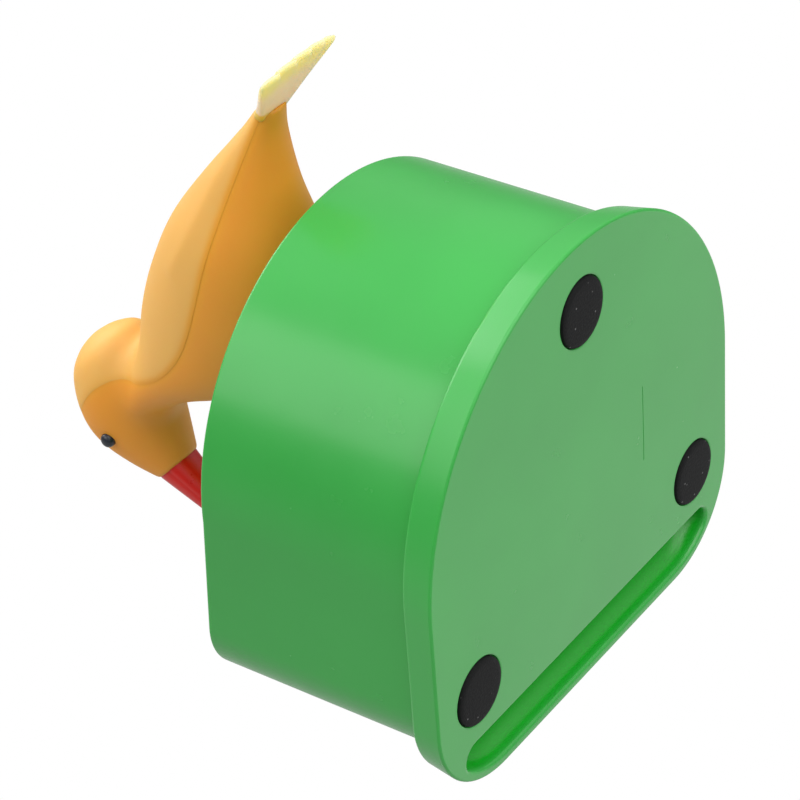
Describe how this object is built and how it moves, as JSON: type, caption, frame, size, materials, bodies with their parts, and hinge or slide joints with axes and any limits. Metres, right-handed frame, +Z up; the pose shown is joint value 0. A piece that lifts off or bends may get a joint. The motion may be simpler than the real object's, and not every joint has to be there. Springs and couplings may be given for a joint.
{
  "type": "dipping bird toothpick dispenser",
  "caption": "Orange bird that pivots and dips its red beak into the trough of a green D-shaped toothpick box on rubber feet.",
  "frame": {"origin": "on the surface that the feet stand on, under the middle of the whole object's width and depth", "axes": "+Z up, -Y towards the flat front that the bird faces, +X towards the bird's left side"},
  "size_m": [0.0754, 0.0906, 0.092],
  "materials": {
    "green_plastic": "satin moulded",
    "foot_rubber": "matt, fine grain",
    "screw_steel": "zinc plated",
    "spring_steel": "drawn wire",
    "white_plastic": "moulded",
    "bird_orange": "satin moulded",
    "bird_light_orange": "satin moulded",
    "tail_cream": "satin moulded, sprayed yellow edge",
    "beak_red": "clear tinted moulding",
    "eye_black": "gloss"
  },
  "bodies": {
    "stand": {"base_tray": "green_plastic", "foot_left": "foot_rubber", "foot_right": "foot_rubber", "foot_rear": "foot_rubber", "base_screws": "screw_steel", "housing": "green_plastic", "hopper_tray": "green_plastic", "pivot_post": "green_plastic", "post_screws": "screw_steel", "stop_pad": "foot_rubber"},
    "bird": {"pivot_pin": "screw_steel", "pin_spacer": "white_plastic", "return_spring": "spring_steel", "belly_shell": "bird_orange", "back_shell": "bird_light_orange", "shell_screw": "screw_steel", "tail": "tail_cream", "beak": "beak_red", "pick_needle": "spring_steel", "eye_left": "eye_black", "eye_right": "eye_black"}
  },
  "joints": [
    {"name": "bird_pitch", "type": "hinge", "parent": "stand", "child": "bird", "pos_m": [0, -0.0055, 0.0647], "axis": [1, 0, 0], "range_deg": [0, 50], "stiffness_Nm_per_rad": 0.02, "springref_deg": -20.05, "deforming": ["return_spring"]}
  ]
}
